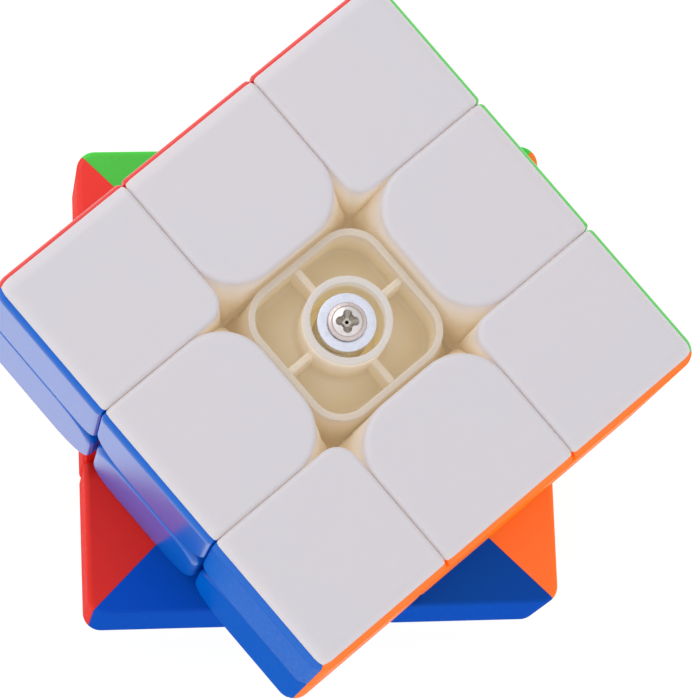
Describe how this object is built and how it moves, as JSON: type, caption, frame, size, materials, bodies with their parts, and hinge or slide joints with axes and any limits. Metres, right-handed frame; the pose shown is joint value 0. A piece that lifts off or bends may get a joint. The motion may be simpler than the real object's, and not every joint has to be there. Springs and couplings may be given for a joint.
{
  "type": "twisty puzzle cube",
  "caption": "Three-layer twisty puzzle cube in coloured plastic, bottom layer part way through a turn, one centre cap taken off to show the tension screw.",
  "frame": {"origin": "middle of the core, which is the middle of the whole object's box", "axes": "+Z out of the white face, -Y out of the blue face of the upper two layers, +X out of their orange face; the bottom layer stands turned 51.38 degrees about +Z"},
  "size_m": [0.0768, 0.0768, 0.056],
  "materials": {
    "white_plastic": "moulded white ABS, satin gloss",
    "yellow_plastic": "moulded yellow ABS, satin gloss",
    "blue_plastic": "moulded blue ABS, satin gloss",
    "green_plastic": "moulded green ABS, satin gloss",
    "orange_plastic": "moulded orange ABS, satin gloss",
    "red_plastic": "moulded red ABS, satin gloss",
    "cream_plastic": "translucent uncoloured moulded plastic",
    "core_black": "dark moulded nylon",
    "screw_zinc": "zinc-plated steel",
    "washer_steel": "bright stamped steel, finely speckled",
    "spring_steel": "drawn spring wire"
  },
  "bodies": {
    "middle_slice": {"core": "core_black", "centre_blue": "blue_plastic", "centre_green": "green_plastic", "centre_orange": "orange_plastic", "centre_red": "red_plastic", "edge_blue_orange": "blue_plastic", "edge_orange_green": "orange_plastic", "edge_green_red": "green_plastic", "edge_red_blue": "red_plastic", "spring_white": "spring_steel", "spring_yellow": "spring_steel", "spring_blue": "spring_steel", "spring_green": "spring_steel", "spring_orange": "spring_steel", "spring_red": "spring_steel"},
    "top_layer": {"centre_white": "cream_plastic", "edge_white_blue": "white_plastic", "edge_white_orange": "white_plastic", "edge_white_green": "white_plastic", "edge_white_red": "white_plastic", "corner_white_blue_orange": "white_plastic", "corner_white_orange_green": "white_plastic", "corner_white_green_red": "white_plastic", "corner_white_red_blue": "white_plastic"},
    "bottom_layer": {"centre_yellow": "yellow_plastic", "edge_yellow_blue": "yellow_plastic", "edge_yellow_orange": "yellow_plastic", "edge_yellow_green": "yellow_plastic", "edge_yellow_red": "yellow_plastic", "corner_yellow_orange_blue": "yellow_plastic", "corner_yellow_green_orange": "yellow_plastic", "corner_yellow_red_green": "yellow_plastic", "corner_yellow_blue_red": "yellow_plastic"},
    "washer_white_body": {"washer_white": "washer_steel"},
    "screw_white_body": {"screw_white": "screw_zinc"},
    "washer_yellow_body": {"washer_yellow": "washer_steel"},
    "screw_yellow_body": {"screw_yellow": "screw_zinc"},
    "cap_yellow_body": {"cap_yellow": "yellow_plastic"},
    "washer_blue_body": {"washer_blue": "washer_steel"},
    "screw_blue_body": {"screw_blue": "screw_zinc"},
    "cap_blue_body": {"cap_blue": "blue_plastic"},
    "washer_green_body": {"washer_green": "washer_steel"},
    "screw_green_body": {"screw_green": "screw_zinc"},
    "cap_green_body": {"cap_green": "green_plastic"},
    "washer_orange_body": {"washer_orange": "washer_steel"},
    "screw_orange_body": {"screw_orange": "screw_zinc"},
    "cap_orange_body": {"cap_orange": "orange_plastic"},
    "washer_red_body": {"washer_red": "washer_steel"},
    "screw_red_body": {"screw_red": "screw_zinc"},
    "cap_red_body": {"cap_red": "red_plastic"}
  },
  "joints": [
    {"name": "top_layer_turn", "type": "hinge", "parent": "middle_slice", "child": "top_layer", "pos_m": [0, 0, 0.0187], "axis": [0, 0, 1], "continuous": true},
    {"name": "bottom_layer_turn", "type": "hinge", "parent": "middle_slice", "child": "bottom_layer", "pos_m": [0, 0, -0.0187], "axis": [0, 0, -1], "continuous": true},
    {"name": "screw_white_travel", "type": "slide", "parent": "middle_slice", "child": "washer_white_body", "axis": [0, 0, 1], "range_m": [-0.0008, 0.0008], "deforming": ["spring_white"]},
    {"name": "screw_white_turn", "type": "hinge", "parent": "washer_white_body", "child": "screw_white_body", "pos_m": [0, 0, 0.0257], "axis": [0, 0, 1], "range_deg": [-362, 362]},
    {"name": "screw_yellow_travel", "type": "slide", "parent": "middle_slice", "child": "washer_yellow_body", "axis": [0, 0, -1], "range_m": [-0.0008, 0.0004], "deforming": ["spring_yellow"]},
    {"name": "screw_yellow_turn", "type": "hinge", "parent": "washer_yellow_body", "child": "screw_yellow_body", "pos_m": [0, 0, -0.0257], "axis": [0, 0, -1], "range_deg": [-362, 182]},
    {"name": "cap_yellow_pull", "type": "slide", "parent": "bottom_layer", "child": "cap_yellow_body", "axis": [0, 0, -1], "range_m": [0, 0.014]},
    {"name": "screw_blue_travel", "type": "slide", "parent": "middle_slice", "child": "washer_blue_body", "axis": [0, -1, 0], "range_m": [-0.0008, 0.0004], "deforming": ["spring_blue"]},
    {"name": "screw_blue_turn", "type": "hinge", "parent": "washer_blue_body", "child": "screw_blue_body", "pos_m": [0, -0.0257, 0], "axis": [0, -1, 0], "range_deg": [-362, 182]},
    {"name": "cap_blue_pull", "type": "slide", "parent": "middle_slice", "child": "cap_blue_body", "axis": [0, -1, 0], "range_m": [0, 0.014]},
    {"name": "screw_green_travel", "type": "slide", "parent": "middle_slice", "child": "washer_green_body", "axis": [0, 1, 0], "range_m": [-0.0008, 0.0004], "deforming": ["spring_green"]},
    {"name": "screw_green_turn", "type": "hinge", "parent": "washer_green_body", "child": "screw_green_body", "pos_m": [0, 0.0257, 0], "axis": [0, 1, 0], "range_deg": [-362, 182]},
    {"name": "cap_green_pull", "type": "slide", "parent": "middle_slice", "child": "cap_green_body", "axis": [0, 1, 0], "range_m": [0, 0.014]},
    {"name": "screw_orange_travel", "type": "slide", "parent": "middle_slice", "child": "washer_orange_body", "axis": [1, 0, 0], "range_m": [-0.0008, 0.0004], "deforming": ["spring_orange"]},
    {"name": "screw_orange_turn", "type": "hinge", "parent": "washer_orange_body", "child": "screw_orange_body", "pos_m": [0.0257, 0, 0], "axis": [1, 0, 0], "range_deg": [-362, 182]},
    {"name": "cap_orange_pull", "type": "slide", "parent": "middle_slice", "child": "cap_orange_body", "axis": [1, 0, 0], "range_m": [0, 0.014]},
    {"name": "screw_red_travel", "type": "slide", "parent": "middle_slice", "child": "washer_red_body", "axis": [-1, 0, 0], "range_m": [-0.0008, 0.0004], "deforming": ["spring_red"]},
    {"name": "screw_red_turn", "type": "hinge", "parent": "washer_red_body", "child": "screw_red_body", "pos_m": [-0.0257, 0, 0], "axis": [-1, 0, 0], "range_deg": [-362, 182]},
    {"name": "cap_red_pull", "type": "slide", "parent": "middle_slice", "child": "cap_red_body", "axis": [-1, 0, 0], "range_m": [0, 0.014]}
  ],
  "couplings": [
    {"joint": "screw_white_turn", "follows": "screw_white_travel", "rad_per_m": 7854},
    {"joint": "screw_yellow_turn", "follows": "screw_yellow_travel", "rad_per_m": 7854},
    {"joint": "screw_blue_turn", "follows": "screw_blue_travel", "rad_per_m": 7854},
    {"joint": "screw_green_turn", "follows": "screw_green_travel", "rad_per_m": 7854},
    {"joint": "screw_orange_turn", "follows": "screw_orange_travel", "rad_per_m": 7854},
    {"joint": "screw_red_turn", "follows": "screw_red_travel", "rad_per_m": 7854}
  ]
}
